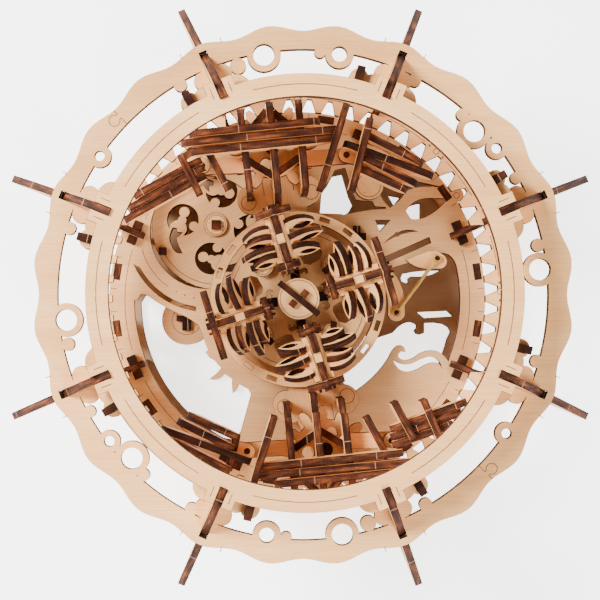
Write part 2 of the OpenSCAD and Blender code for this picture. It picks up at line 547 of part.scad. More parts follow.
// Each leaf: distance from the axis, turn, tilt, length
left_leaves = [[18.7, -3, 27, 0.7], [22, -2, 27, 0.98], [26.6, -8, 27, 0.78], [30.2, -3, 46, 0.8]];
right_leaves = [[20, 4, 27, 0.78], [24.2, -7, 27, 1], [30.4, -3, 46, 0.84]];
module leaf_plate(r, turn, tilt, w) translate([r, 0.4, 0]) rotate([0, 0, 90 + turn])
    rotate([tilt, 0, 0]) upright() scale([w, 1]) difference() { polygon(leaf); polygon(leaf_hole); }
module wing_shape(leaves) translate([0, wing_off, wing_z]) difference() {
    union() {
        translate([bar_in, -1.2, -ply / 2]) cube([bar_out - bar_in, 2.5, ply]);
        for (l = leaves) leaf_plate(l[0] * k, l[1], l[2], l[3] * k);
    }
    rotate([0, 90, 0]) cylinder(h = 4 * crest_r, r = wing_pin_r + axle_gap, center = true, $fn = 32);
}
module wing(i, s) color(burnt) rotate(spine_a + 90 * (i - 1)) {
    if (s > 0) wing_shape(left_leaves);
    else mirror([0, 1, 0]) wing_shape(right_leaves);
}

// ---------------------------------------------------------------- rollers
// A roller tooth has to sit in the gap of the ring that faces it
function roller_phase(h) = let (a = arm_a + h - ring_turn, p = 360 / ring_teeth)
    (p * round(a / p) - a) * ring_teeth / roller_teeth;
module roller(h) color(birch) at(roller_r, arm_a + h) difference() {
    sheet(gear_z) difference() {
        rotate(roller_phase(h)) gear2d(roller_teeth, ring_m);
        for (a = [30:120:270]) rotate(a) disc_at([7.4, 0] * k, 2.6 * k);
    }
    cylinder(h = 2 * gear_z, r = pin_r + axle_gap);
}
module roller_pins() color(burnt) for (h = [0, 180]) at(roller_r, arm_a + h) {
    translate([0, 0, rotor_z - ply]) cylinder(h = gear_z - rotor_z + ply + 0.4, r = pin_r);
    translate([0, 0, rotor_z]) cylinder(h = gear_z - ply - 0.3 - rotor_z, r = 2.4 * pin_r);
    translate([0, 0, gear_z + 0.3]) cylinder(h = 1, r = 2 * pin_r);
}

// ---------------------------------------------------------------- creatures
// Both creatures are drawn as the first one. The second is turned half a turn and
// stands a little further out, with its tail swung the other way.
second_out = [2.3, 4.2];
module creature_at(h) rotate(h) translate(h > 0 ? second_out * k : [0, 0]) children();
strut_h = ply + 1;
rib_z = gear_z + 2.3;                  // underside of the ribs and struts
link_z = rib_z + 2 * ply + 0.3;        // upper face of the hinged links
plank_h = 8;
low_rib = 10.5;
high_rib = 17;
head_at = [19.5, 59.5];
tail_at = [-40.5, 55];
hinge_r = 1.2;
body_planks = [[[-45.7, 66.9], [8.2, 72.4]], [[-49, 63.1], [16.9, 69.1]], [[-44.9, 59.5], [15.9, 65.5]]];
head_planks = [[[17.8, 63.3], [54.7, 49.6]], [[26.2, 67], [50.6, 54.6]], [[24.6, 58.1], [48.1, 46.3]],
    [[22.9, 53.5], [44, 43.9]]];
tail_planks = [[[-68.3, 41.4], [-40.4, 56.5]], [[-70.8, 36], [-39.2, 53.4]], [[-72.1, 31.5], [-38.6, 50.2]]];
tail_planks_b = [[[-65.4, 47.6], [-40.2, 56.5]], [[-68.8, 42.7], [-39.5, 53.2]], [[-70.9, 38.4], [-39.4, 50]]];
head_rib = [[21.1, 43.7], [28.6, 73.4]];
head_rib_b = [[23.6, 52.6], [27.2, 67.4]];
tail_rib = [[-41.3, 42.4], [-49.2, 58.4]];
tail_ribs_b = [[[-40.6, 38.6], [-48.8, 53.8]], [[-52.5, 37.7], [-59.6, 54.1]]];
// Ribs: inner end, outer end, height, and the leg's reach along the rib if it has one
leg_ribs = [[[-20.6, 43.7], [-24.7, 78], [-1, 2.5]], [[-9, 43.3], [-12.7, 80.9], [-2.7, 1]],
    [[2.5, 45.7], [-0.8, 82.1], [-1, 2.5]]];
// The second creature's legs stay inside its roller, so they stand back along their ribs
leg_back = 4.8 * k;
function leg_reach(b, h) = [for (x = b[2]) x - (h > 0 ? leg_back : 0)];
body_links = [[[2.4, 58.4], head_at], [[-22.2, 55.6], tail_at]];
head_link = [head_at, [30.5, 57.2]];
tail_link = [tail_at, [-51, 51.6]];
struts = [[[-23.4, 58.5], [-10.6, 50.9]], [[-8.9, 52.5], [0, 58.8]], [[-24.2, 65.4], [-13.7, 78.4]],
    [[-11.1, 77.8], [-0.4, 68.6]]];
module along(p, q) let (d = (q - p) * k) translate([p.x * k, p.y * k, 0]) rotate(atan2(d.y, d.x)) children();
module board(b, z0, z1, g = 0) along(b[0], b[1])
    translate([-g, -ply / 2 - g, z0 - g]) cube([norm(b[1] - b[0]) * k + 2 * g, ply + 2 * g, z1 - z0 + 2 * g]);
module plank(b, g = 0) let (l = norm(b[1] - b[0]) * k, h = plank_h) {
    if (g > 0) board(b, link_z, link_z + h, g);
    else along(b[0], b[1]) upright() translate([0, link_z]) polygon(concat(
        bez([0, h - 3], [0.5, h], [4, h], 4), bez([l - 4, h], [l - 0.5, h], [l, h - 3], 4),
        bez([l, h - 3], [0.85 * l, -0.6], [0.7 * l, 0], 5), bez([0.7 * l, 0], [l / 2, 2.6], [0.3 * l, 0], 6),
        bez([0.3 * l, 0], [0.15 * l, -0.6], [0, h - 3], 5)));
}
module link(b, z, g = 0) let (l = norm(b[1] - b[0]) * k, r = 3.3 * k + g) along(b[0], b[1])
    translate([0, 0, z - ply - g]) linear_extrude(ply + 2 * g) {
        circle(r, $fn = 48);
        translate([l, 0]) circle(r, $fn = 48);
        translate([0, -r]) square([l, 2 * r]);
    }
module body_rib(b, h, leg = undef) let (l = norm(b[1] - b[0]) * k) along(b[0], b[1]) upright() {
    polygon(concat([[0, rib_z + h]], leg ? [[0, rib_z + 3], [leg[0], rib_z], [leg[0], rotor_z - ply],
        [leg[1], rotor_z - ply], [leg[1], rib_z]] : [[0, rib_z + 3], [2, rib_z]],
        bez([l - 7, rib_z], [l - 2, rib_z + 1], [l, rib_z + 5], 4), [[l, rib_z + h - 2], [l - 2, rib_z + h]]));
}
module leg_slots(h) for (b = leg_ribs) along(b[0], b[1]) let (reach = leg_reach(b, h))
    translate([reach[0] - slot_gap, -slot_w / 2]) square([reach[1] - reach[0] + 2 * slot_gap, slot_w]);
module hinge_hole(p, r) translate([p.x * k, p.y * k, 0]) cylinder(h = 2 * gear_z, r = r, $fn = 40);
module creature_body(h) color(burnt) creature_at(h) for (b = body_planks) plank(b);
module creature_ribs(h) creature_at(h) {
    color(burnt) difference() {
        union() {
            for (b = leg_ribs) body_rib(b, low_rib, leg_reach(b, h));
            body_rib([[-29.7, 44.9], [-38.9, 62.2]], low_rib);
            body_rib([[8.3, 44.5], [19.1, 79.2]], high_rib);
        }
        for (b = body_planks) plank(b, slot_gap);
        for (b = struts) board(b, rib_z, rib_z + strut_h, slot_gap);
        for (b = body_links) link(b, rib_z + ply, slot_gap);
    }
    color(burnt) for (b = struts) board(b, rib_z, rib_z + strut_h);
    color(birch) difference() {
        for (b = body_links) link(b, rib_z + ply);
        for (p = [head_at, tail_at]) hinge_hole(p, hinge_r);
    }
}
module creature_end(h, planks, ribs, rib_h, tie, pivot) creature_at(h) {
    color(burnt) {
        for (b = planks) plank(b);
        difference() {
            for (b = ribs) translate([0, 0, ply + 0.3]) body_rib(b, rib_h);
            for (b = planks) plank(b, slot_gap);
            link(tie, link_z, slot_gap);
        }
    }
    color(birch) difference() {
        link(tie, link_z);
        hinge_hole(pivot, hinge_r + axle_gap);
    }
}
end_h = high_rib - ply - 0.3;
module creature_head(h) creature_end(h, head_planks, [h > 0 ? head_rib_b : head_rib], h > 0 ? end_h - 6 : end_h,
    head_link, head_at);
module creature_tail(h) creature_end(h, h > 0 ? tail_planks_b : tail_planks, h > 0 ? tail_ribs_b : [tail_rib], end_h,
    tail_link, tail_at);
module hinge_pins() color(burnt) for (h = [0, 180], p = [head_at, tail_at]) creature_at(h)
    translate([p.x * k, p.y * k, rib_z]) cylinder(h = 2 * ply + 0.2, r = hinge_r, $fn = 40);

lower_plate();
deck_plate();
drum_walls();
deck_keys();
fin(1);  // fin_1
fin(2);  // fin_2
fin(3);  // fin_3
fin(4);  // fin_4
fin(5);  // fin_5
fin(6);  // fin_6
fin(7);  // fin_7
fin(8);  // fin_8
toothed_ring();
under_ring();
upper_ring();
hook_pegs();
peg_bands();
wavy_ring_a();
wavy_ring_b();
spindle();
drive_gear();
drive_pin();
idler_boss();
bearing_cap();
lever();
lever_pin();
band_hook();
rubber_band();
rotor_plate();
rotor_sleeve();
curl_pegs();
centre_gear();
halo_ring();
corner_caps();
hub_cap();
hub_bar();
figure_spines();
figure_crests();
wing_pins();
wing(1, 1);  // wing_1_left
wing(1, -1);  // wing_1_right
wing(2, 1);  // wing_2_left
wing(2, -1);  // wing_2_right
wing(3, 1);  // wing_3_left
wing(3, -1);  // wing_3_right
wing(4, 1);  // wing_4_left
wing(4, -1);  // wing_4_right
roller(0);  // roller_1
roller(180);  // roller_2
roller_pins();
creature_body(0);  // creature_1_body
creature_ribs(0);  // creature_1_ribs
creature_head(0);  // creature_1_head
creature_tail(0);  // creature_1_tail
creature_body(180);  // creature_2_body
creature_ribs(180);  // creature_2_ribs
creature_head(180);  // creature_2_head
creature_tail(180);  // creature_2_tail
hinge_pins();
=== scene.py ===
import math
import random

import bmesh
import bpy
import json
from mathutils import Matrix, Vector


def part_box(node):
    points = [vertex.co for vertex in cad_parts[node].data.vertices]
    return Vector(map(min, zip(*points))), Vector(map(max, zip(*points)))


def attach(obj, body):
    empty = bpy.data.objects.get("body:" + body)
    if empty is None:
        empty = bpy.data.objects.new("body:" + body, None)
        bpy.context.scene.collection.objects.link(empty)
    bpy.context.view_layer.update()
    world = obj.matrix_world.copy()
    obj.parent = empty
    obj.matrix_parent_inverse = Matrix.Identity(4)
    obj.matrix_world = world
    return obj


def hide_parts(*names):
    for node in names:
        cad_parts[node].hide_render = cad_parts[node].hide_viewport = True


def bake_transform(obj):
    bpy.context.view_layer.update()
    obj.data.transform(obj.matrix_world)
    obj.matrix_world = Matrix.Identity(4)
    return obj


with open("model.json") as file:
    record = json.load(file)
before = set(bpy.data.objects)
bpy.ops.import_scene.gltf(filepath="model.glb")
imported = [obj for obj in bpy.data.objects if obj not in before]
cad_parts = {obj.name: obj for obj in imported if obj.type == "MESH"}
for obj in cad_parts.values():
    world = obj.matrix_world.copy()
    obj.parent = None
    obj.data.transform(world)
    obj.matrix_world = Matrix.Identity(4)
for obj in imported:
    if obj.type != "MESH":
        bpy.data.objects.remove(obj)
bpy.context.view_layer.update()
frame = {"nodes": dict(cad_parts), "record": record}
nodes = frame["nodes"]
body_of = {n: b for b, names in frame["record"]["behaviour"]["bodies"].items() for n in names}
slot_of = {s["node"]: s["material_slot"] for s in frame["record"]["subparts"]}
mm = 0.001

deck_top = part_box("deck_plate")[1].z
ring_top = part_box("toothed_ring")[1].z
crown_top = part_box("upper_ring")[1].z
wave_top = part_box("wavy_ring_a")[1].z
rotor_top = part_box("rotor_plate")[1].z
sheet_t = crown_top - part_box("upper_ring")[0].z
drum_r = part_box("deck_plate")[1].x
scale = drum_r / 83 / mm      # grows every drawn mark with the drum
weld = 2e-6                   # vertices nearer than this are one vertex
chamfer = 0.11 * mm           # sanded rim between veneer and edge
nick_pitch = 31 * mm          # distance between the nicks along an edge
nick_half = 0.0042            # half width of a nick, as a share of the pitch

# Axes on the deck, in drawing millimetres
window_c = (-40, 30)
drive_c = (-36, 33.6)
idler_c = (-49.6, -8.7)
bearing_c = (31.4, 50.4)
lever_tip = (43.4, -5.6)
hook_tip = (61.2, 18.2)


# ------------------------------------------------------------ wood materials
def new_material(name):
    mat = bpy.data.materials.new(name)
    mat.use_nodes = True
    tree = mat.node_tree
    return mat, tree, tree.nodes["Principled BSDF"]


def node(tree, kind, inputs=None, **props):
    n = tree.nodes.new(kind)
    for key, value in props.items():
        setattr(n, key, value)
    for key, value in (inputs or {}).items():
        if isinstance(value, bpy.types.NodeSocket):
            tree.links.new(value, n.inputs[key])
        else:
            n.inputs[key].default_value = value
    return n


def math_node(tree, op, a, b=0.0):
    return node(tree, "ShaderNodeMath", {0: a, 1: b}, operation=op).outputs[0]


def mix(tree, factor, a, b, blend="MIX"):
    n = node(tree, "ShaderNodeMix", data_type="RGBA", blend_type=blend)
    for index, value in ((0, factor), (6, a), (7, b)):
        if isinstance(value, bpy.types.NodeSocket):
            tree.links.new(value, n.inputs[index])
        else:
            n.inputs[index].default_value = value
    return n.outputs[2]


def ramp(tree, value, stops):
    n = node(tree, "ShaderNodeValToRGB", {0: value})
    while len(n.color_ramp.elements) < len(stops):
        n.color_ramp.elements.new(0.5)
    for e, (pos, colour) in zip(n.color_ramp.elements, stops):
        e.position = pos
        e.color = (*colour, 1) if len(colour) == 3 else colour
    return n.outputs[0]


def stretched(tree, vector, along, across, depth, scale=1.0, detail=3.0):
    place = node(tree, "ShaderNodeMapping", {0: vector, 3: (along, across, depth)}, vector_type="POINT")
    noise = {"Vector": place.outputs[0], "Scale": scale, "Detail": detail}
    return node(tree, "ShaderNodeTexNoise", noise).outputs[0]


def birch_face():
    """Sanded birch veneer: fibres run along each board; sheets inside the drum get painted shade."""
    mat, tree, shader = new_material("birch veneer")
    board = node(tree, "ShaderNodeAttribute", attribute_name="board").outputs["Vector"]
    tint = node(tree, "ShaderNodeAttribute", attribute_name="tint").outputs["Fac"]
    bands = stretched(tree, board, 9, 90, 9, detail=2)
    fibre = stretched(tree, board, 70, 1500, 70, detail=4)
    flecks = stretched(tree, board, 160, 900, 160, detail=1)
    colour = ramp(tree, bands, [(0.25, (0.76, 0.385, 0.145)), (0.5, (0.86, 0.46, 0.18)),
                                (0.75, (0.89, 0.52, 0.225))])
    dark = ramp(tree, fibre, [(0.38, (0.88, 0.83, 0.76)), (0.6, (1, 1, 1))])
    colour = mix(tree, 0.75, colour, dark, "MULTIPLY")
    fleck = ramp(tree, flecks, [(0.66, (0, 0, 0)), (0.74, (1, 1, 1))])
    colour = mix(tree, math_node(tree, "MULTIPLY", fleck, 0.22), colour, (0.46, 0.27, 0.15, 1))
    warm = ramp(tree, tint, [(0.0, (0.93, 0.905, 0.88)), (0.5, (1, 1, 1)), (1.0, (1.0, 0.965, 0.92))])
    colour = mix(tree, 1.0, colour, warm, "MULTIPLY")
    # Painted shade: each face is mixed towards dark brown by its painted shade amount, which stands in for the
    # shade inside the drum
    inner = node(tree, "ShaderNodeAttribute", attribute_name="inner").outputs["Fac"]
    colour = mix(tree, inner, colour, (0.11, 0.085, 0.068, 1))
    tree.links.new(colour, shader.inputs["Base Color"])
    rough = ramp(tree, fibre, [(0.3, (0.62,) * 3), (0.7, (0.48,) * 3)])
    tree.links.new(rough, shader.inputs["Roughness"])
    shader.inputs["Specular IOR Level"].default_value = 0.25
    bump = node(tree, "ShaderNodeBump", {"Height": fibre, "Strength": 0.12, "Distance": 0.0002})
    tree.links.new(bump.outputs[0], shader.inputs["Normal"])
    return mat


def burnt_edge():
    """A laser-cut plywood edge: charred plies, with pale nicks where the board was held."""
    mat, tree, shader = new_material("burnt plywood edge")
    board = node(tree, "ShaderNodeAttribute", attribute_name="board").outputs["Vector"]
    tint = node(tree, "ShaderNodeAttribute", attribute_name="tint").outputs["Fac"]
    axis = node(tree, "ShaderNodeSeparateXYZ", {0: board})
    along, depth = axis.outputs[0], axis.outputs[2]
    out = math_node(tree, "ABSOLUTE", depth)
    char = stretched(tree, board, 110, 110, 700, detail=4)
    strokes = stretched(tree, board, 2600, 2600, 120, detail=2)
    colour = ramp(tree, char, [(0.30, (0.018, 0.006, 0.003)), (0.48, (0.058, 0.017, 0.007)),
                               (0.60, (0.13, 0.036, 0.012)), (0.74, (0.32, 0.095, 0.026))])
    scorch = ramp(tree, strokes, [(0.4, (0.62, 0.58, 0.55)), (0.6, (1, 1, 1))])
    colour = mix(tree, 0.8, colour, scorch, "MULTIPLY")
    rim = ramp(tree, math_node(tree, "DIVIDE", out, sheet_t / 2),
               [(0.0, (1.1, 1.1, 1.1)), (0.62, (0.92, 0.9, 0.88)), (0.9, (0.42, 0.36, 0.33))])
    colour = mix(tree, 1.0, colour, rim, "MULTIPLY")
    glue = math_node(tree, "ABSOLUTE", math_node(tree, "SUBTRACT", out, sheet_t / 6))
    glue = math_node(tree, "LESS_THAN", glue, 0.00005)
    colour = mix(tree, math_node(tree, "MULTIPLY", glue, 0.45), colour, (0.03, 0.011, 0.007, 1))
    step = math_node(tree, "ADD", math_node(tree, "DIVIDE", along, nick_pitch),
                     math_node(tree, "MULTIPLY", tint, 7.0))
    step = math_node(tree, "ABSOLUTE", math_node(tree, "SUBTRACT", math_node(tree, "FRACT", step), 0.5))
    nick = math_node(tree, "LESS_THAN", step, nick_half)
    colour = mix(tree, math_node(tree, "MULTIPLY", nick, 0.7), colour, (0.50, 0.27, 0.15, 1))
    tree.links.new(colour, shader.inputs["Base Color"])
    shader.inputs["Roughness"].default_value = 0.72
    shader.inputs["Specular IOR Level"].default_value = 0.12
    bump = node(tree, "ShaderNodeBump", {"Height": strokes, "Strength": 0.25, "Distance": 0.0002})
    tree.links.new(bump.outputs[0], shader.inputs["Normal"])
    return mat


def engraved_line():
    """Lines that the laser scorched into the veneer."""
    mat, tree, shader = new_material("engraved line")
    place = node(tree, "ShaderNodeTexCoord").outputs["Object"]
    char = node(tree, "ShaderNodeTexNoise", {"Vector": place, "Scale": 900.0, "Detail": 2.0}).outputs[0]
    colour = ramp(tree, char, [(0.35, (0.10, 0.038, 0.018)), (0.65, (0.27, 0.115, 0.055))])
    tree.links.new(colour, shader.inputs["Base Color"])
    shader.inputs["Roughness"].default_value = 0.8
    return mat


def rubber():
    mat, tree, shader = new_material("natural rubber")
    place = node(tree, "ShaderNodeTexCoord").outputs["Object"]
    cloud = node(tree, "ShaderNodeTexNoise", {"Vector": place, "Scale": 500.0, "Detail": 3.0}).outputs[0]
    colour = ramp(tree, cloud, [(0.3, (0.42, 0.23, 0.035)), (0.7, (0.62, 0.38, 0.07))])
    tree.links.new(colour, shader.inputs["Base Color"])
    shader.inputs["Roughness"].default_value = 0.5
    shader.inputs["Subsurface Weight"].default_value = 0.1
    shader.inputs["Subsurface Radius"].default_value = (0.002, 0.0012, 0.0005)
    bump = node(tree, "ShaderNodeBump", {"Height": cloud, "Strength": 0.2, "Distance": 0.0001})
    tree.links.new(bump.outputs[0], shader.inputs["Normal"])
    return mat


birch = birch_face()
burnt = burnt_edge()
scorched = engraved_line()
latex = rubber()

# ------------------------------------------------------------ boards
# Flat sheets show veneer on top and below, uprights show two broad sides, and
# blocks are charred all over. The grain of the turned sheets runs along X.
turned_sheets = {"lower_plate", "deck_plate", "toothed_ring", "under_ring", "upper_ring", "wavy_ring_a",
                 "wavy_ring_b", "halo_ring", "centre_gear", "hub_cap"}
flat = turned_sheets | {"drive_gear", "rotor_plate", "lever", "band_hook", "roller_1", "roller_2", "idler_boss",
                        "bearing_cap", "corner_caps", "drive_pin"}
blocks = {"spindle", "rotor_sleeve", "lever_pin", "roller_pins", "wing_pins", "hinge_pins", "deck_keys",
          "curl_pegs", "hub_bar", "hook_pegs"}
# Pegs stand this many millimetres above the veneer of these nodes, and are charred on top
peg_heights = {"idler_boss": 1.9, "corner_caps": 1.9, "drive_pin": 1.0, "lever": 2.0, "band_hook": 2.0,
               "drive_gear": 2.0}
charred_above = {n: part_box(n)[1].z - h * mm for n, h in peg_heights.items()}

# Painted shade: sheets inside the drum are darkened towards dark brown by these amounts, which stand in for the
# shade inside the drum
inner_shade = {"lower_plate": 0.76, "idler_boss": 0.3, "drive_gear": 0.24, "centre_gear": 0.4, "deck_plate": 0.3,
               "rotor_plate": 0.14}


def islands(bm):
    """The separate boards of a node, each a list of faces, in the mesh's own order."""
    left, groups = set(bm.faces), []
    for first in bm.faces:
        if first not in left:
            continue
        left.discard(first)
        stack = [first]
        group = []
        while stack:
            face = stack.pop()
            group.append(face)
            for edge in face.edges:
                for other in edge.link_faces:
                    if other in left:
                        left.discard(other)
                        stack.append(other)
        groups.append(group)
    return groups


def planes(faces):
    """Face area on each plane of a board: (normal, offset) -> faces."""
    found = []
    for face in faces:
        n, d = face.normal, face.normal.dot(face.calc_center_median())
        for item in found:
            if item[0].dot(n) > 0.9999 and abs(item[1] - d) < 2e-5:
                item[2].append(face)
                item[3] += face.calc_area()
                break
        else:
            found.append([n.copy(), d, [face], face.calc_area()])
    return found


def broad_faces(name, faces):
    """The veneer sides of one board, and the direction across its sheet."""
    if name in blocks:
        return set(), Vector((0, 0, 1))
    if name in flat:
        limit = charred_above.get(name, 1.0)
        keep = {f for f in faces if abs(f.normal.z) > 0.99 and f.calc_center_median().z < limit}
        return keep, Vector((0, 0, 1))
    groups = [g for g in planes(faces) if g[3] > 2e-6]
    if not groups:
        return set(), Vector((0, 0, 1))
    most = max(g[3] for g in groups)
    keep, across, best = set(), None, 0
    for g in groups:
        for h in groups:
            if g[0].dot(h[0]) < -0.9999 and abs(g[1] + h[1] - sheet_t) < 4e-5 and g[3] > 0.2 * most:
                keep.update(g[2])
                if g[3] > best:
                    across, best = g[0], g[3]
    return keep, across or max(groups, key=lambda g: g[3])[0]


def finish_board(name):
    """A copy of a node with chamfered, charred edges and veneer on its broad sides."""
    source = nodes[name]
    mesh = bpy.data.meshes.new(name + "_wood")
    bm = bmesh.new()
    bm.from_mesh(source.data)
    bmesh.ops.remove_doubles(bm, verts=bm.verts, dist=weld)
    bmesh.ops.dissolve_limit(bm, angle_limit=math.radians(0.4), verts=bm.verts, edges=bm.edges,
                             delimit={"NORMAL"})
    bm.normal_update()
    bm.edges.index_update()
    rims = []
    for faces in islands(bm):
        keep, across = broad_faces(name, faces)
        edges = sorted({e for f in keep for e in f.edges}, key=lambda e: e.index)
        rims += [e for e in edges if len(e.link_faces) == 2 and sum(f in keep for f in e.link_faces) == 1
                 and e.calc_face_angle(0) > 0.6 and e.calc_length() > 4e-5]
    if rims:
        bmesh.ops.bevel(bm, geom=rims, offset=chamfer, offset_type="OFFSET", segments=1, profile=0.5,
                        affect="EDGES", clamp_overlap=False, material=-1)
    bm.normal_update()
    place = bm.loops.layers.float_vector.new("board")
    tone = bm.faces.layers.float.new("tint")
    # Per-face amount of painted shade, for sheets inside the drum
    inner = bm.faces.layers.float.new("inner")
    seed = random.Random(name)
    for faces in islands(bm):
        keep, across = broad_faces(name, faces)
        points = [v.co for f in faces for v in f.verts]
        centre = sum(points, Vector()) / len(points)
        side = across.orthogonal().normalized()
        other = across.cross(side)
        a = sum((p - centre).dot(side) ** 2 - (p - centre).dot(other) ** 2 for p in points)
        b = 2 * sum((p - centre).dot(side) * (p - centre).dot(other) for p in points)
        turn = 0.5 * math.atan2(b, a)
        length = side * math.cos(turn) + other * math.sin(turn)
        if name in turned_sheets:
            length = Vector((1, 0, 0))
        width = across.cross(length)
        low = min(across.dot(p) for p in points)
        high = max(across.dot(p) for p in points)
        middle = (low + high) / 2
        tint = seed.random()
        shift = seed.uniform(-3, 3)
        for f in faces:
            f.smooth = False
            f.material_index = 0 if f in keep else 1
            f[tone] = tint
            f[inner] = inner_shade.get(name, 0.0)
            for loop in f.loops:
                p = loop.vert.co
                run = length.dot(p) + shift
                if f not in keep and name in turned_sheets:
                    spin = math.atan2(f.calc_center_median().y, f.calc_center_median().x)
                    step = Vector((-math.sin(spin), math.cos(spin), 0)).dot(p - f.calc_center_median())
                    run = spin * p.xy.length + step + shift
                loop[place] = (run, width.dot(p) + shift, across.dot(p) - middle)
    bm.to_mesh(mesh)
    bm.free()
    mesh.materials.append(birch)
    mesh.materials.append(burnt)
    piece = bpy.data.objects.new(name + "_wood", mesh)
    bpy.context.scene.collection.objects.link(piece)
    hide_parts(name)
    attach(piece, body_of[name])
    return piece


for name in nodes:
    if slot_of[name] != "rubber":
        finish_board(name)


# ------------------------------------------------------------ engraved marks
class Marks:
    """Thin scorched strips on the face of a sheet, all on one body."""

    def __init__(self, name, body, slot, z):
        self.bm = bmesh.new()
        self.name, self.body, self.slot, self.z = name, body, slot, z
        self.width, self.height = 0.34 * mm, 0.03 * mm

    def arc(self, r, a0, a1, centre=(0, 0), width=None):
        """A strip on a circle of radius r, in drawing millimetres, from a0 to a1 degrees."""
        r, c = r * scale * mm, Vector((centre[0], centre[1], 0)) * scale * mm
        half, z = (width or self.width) / 2, self.z
        spin = Matrix.Rotation(math.radians(a0), 3, "Z")
        section = [self.bm.verts.new(c + spin @ Vector((r + x, 0, y)) + Vector((0, 0, z)))
                   for x, y in ((-half, 0), (half, 0), (half, self.height), (-half, self.height))]
        edges = [self.bm.edges.new((section[i], section[(i + 1) % 4])) for i in range(4)]
        whole = abs(a1 - a0) >= 360
        steps = max(3, round(abs(a1 - a0) / (24 if r < 2 * mm else 12 if r < 8 * mm else 4)))
        made = bmesh.ops.spin(self.bm, geom=section + edges, cent=c, axis=(0, 0, 1),
                              angle=math.radians(a1 - a0), steps=steps, use_merge=whole)
        if not whole:
            last = [v for v in made["geom_last"] if isinstance(v, bmesh.types.BMVert)]
            self.bm.faces.new(section)
            bmesh.ops.contextual_create(self.bm, geom=last)

    def line(self, p, q, width=None):
        """A straight strip between two points, in drawing millimetres."""
        p, q = (Vector((x, y, 0)) * scale * mm for x, y in (p, q))
        run = q - p
        made = bmesh.ops.create_cube(self.bm, size=1.0)
        place = (Matrix.Translation((p + q) / 2 + Vector((0, 0, self.z + self.height / 2)))
                 @ Matrix.Rotation(math.atan2(run.y, run.x), 4, "Z")
                 @ Matrix.Diagonal((run.length, width or self.width, self.height, 1)))
        bmesh.ops.transform(self.bm, matrix=place, verts=made["verts"])

    def radial(self, r0, r1, a, offset=0.0, width=None):
        c, s = math.cos(math.radians(a)), math.sin(math.radians(a))
        self.line((r0 * c - offset * s, r0 * s + offset * c), (r1 * c - offset * s, r1 * s + offset * c), width)

    def dot(self, centre, r=0.35):
        made = bmesh.ops.create_circle(self.bm, cap_ends=True, segments=10, radius=r * scale * mm)
        z = Vector((centre[0] * scale * mm, centre[1] * scale * mm, self.z + self.height))
        bmesh.ops.translate(self.bm, vec=z, verts=made["verts"])
        face = made["verts"][0].link_faces[0]
        wall = bmesh.ops.extrude_face_region(self.bm, geom=[face])
        down = [v for v in wall["geom"] if isinstance(v, bmesh.types.BMVert)]
        bmesh.ops.translate(self.bm, vec=(0, 0, -self.height), verts=down)

    def ring(self, centre, r, dots=2, turn=30.0):
        """An engraved circle with small dots inside its edge."""
        self.arc(r, 0, 360, centre)
        for i in range(dots):
            a = math.radians(turn + 360 * i / dots)
            self.dot((centre[0] + 0.72 * r * math.cos(a), centre[1] + 0.72 * r * math.sin(a)), 0.3)

    def done(self):
        bmesh.ops.recalc_face_normals(self.bm, faces=self.bm.faces)
        mesh = bpy.data.meshes.new(self.name)
        self.bm.to_mesh(mesh)
        self.bm.free()
        mesh.materials.append(scorched)
        piece = bpy.data.objects.new(self.name, mesh)
        bpy.context.scene.collection.objects.link(piece)
        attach(piece, self.body)


def polar(r, a):
    return r * math.cos(math.radians(a)), r * math.sin(math.radians(a))


crown = Marks("upper_ring_lines", "frame", "birch_plywood", crown_top)
wave = Marks("wavy_ring_lines", "frame", "birch_plywood", wave_top)
teeth = Marks("toothed_ring_lines", "frame", "birch_plywood", ring_top)
deck = Marks("deck_lines", "frame", "birch_plywood", deck_top)
for i in range(8):
    bay, fin = 45 * i, 45 * i + 22.5
    crown.arc(76.6, bay - 14.5, bay + 14.5)
    for side in (-1, 1):
        crown.radial(78.2, 82.2, fin, 3.6 * side)
        wave.radial(101.3, 103.3, fin + 4.6 * side)
        teeth.arc(85, bay + 2 + side * 4.2, bay + 2 + side * 16.2)
        teeth.dot(polar(85, bay + 2 + side * 2.5), 0.55)
        deck.radial(79.8, 82.6, bay + 1 + side * 14.6)
        deck.radial(79.8, 82.6, bay + side * 3.6)
    teeth.ring(polar(85, bay + 2), 1.2, 0)
    deck.arc(76.1, bay + 2 if i == 1 else bay - 17, bay + 17)
deck.arc(29.5, 195, 235, window_c)
for a in (243, 251, 259):
    x, y = polar(29.5, a)
    deck.dot((window_c[0] + x, window_c[1] + y), 0.4)
deck.ring((70.3, 46.2), 1.3, 0)
deck.ring((44, 29), 1.0, 0)
deck.ring((22, -42), 1.2, 0)
for marks in (crown, wave, teeth, deck):
    marks.done()

cap = Marks("bearing_cap_lines", "frame", "birch_plywood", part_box("bearing_cap")[1].z)
cap.ring(bearing_c, 5.2, 2, 60)
cap.done()
boss = Marks("idler_boss_lines", "frame", "birch_plywood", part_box("idler_boss")[1].z - 2 * mm)
boss.ring(idler_c, 6.6, 2, 150)
boss.done()
drive = Marks("drive_pin_lines", "frame", "birch_plywood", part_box("drive_pin")[1].z - 1.8 * mm)
drive.ring(drive_c, 4.3, 2, 165)
drive.done()
face = Marks("drive_gear_lines", "drive_wheel", "birch_plywood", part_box("drive_gear")[1].z - 2.4 * mm)
face.arc(26.4, 200, 290, drive_c)
face.arc(5.6, 0, 360, drive_c, 0.2 * mm)
face.done()

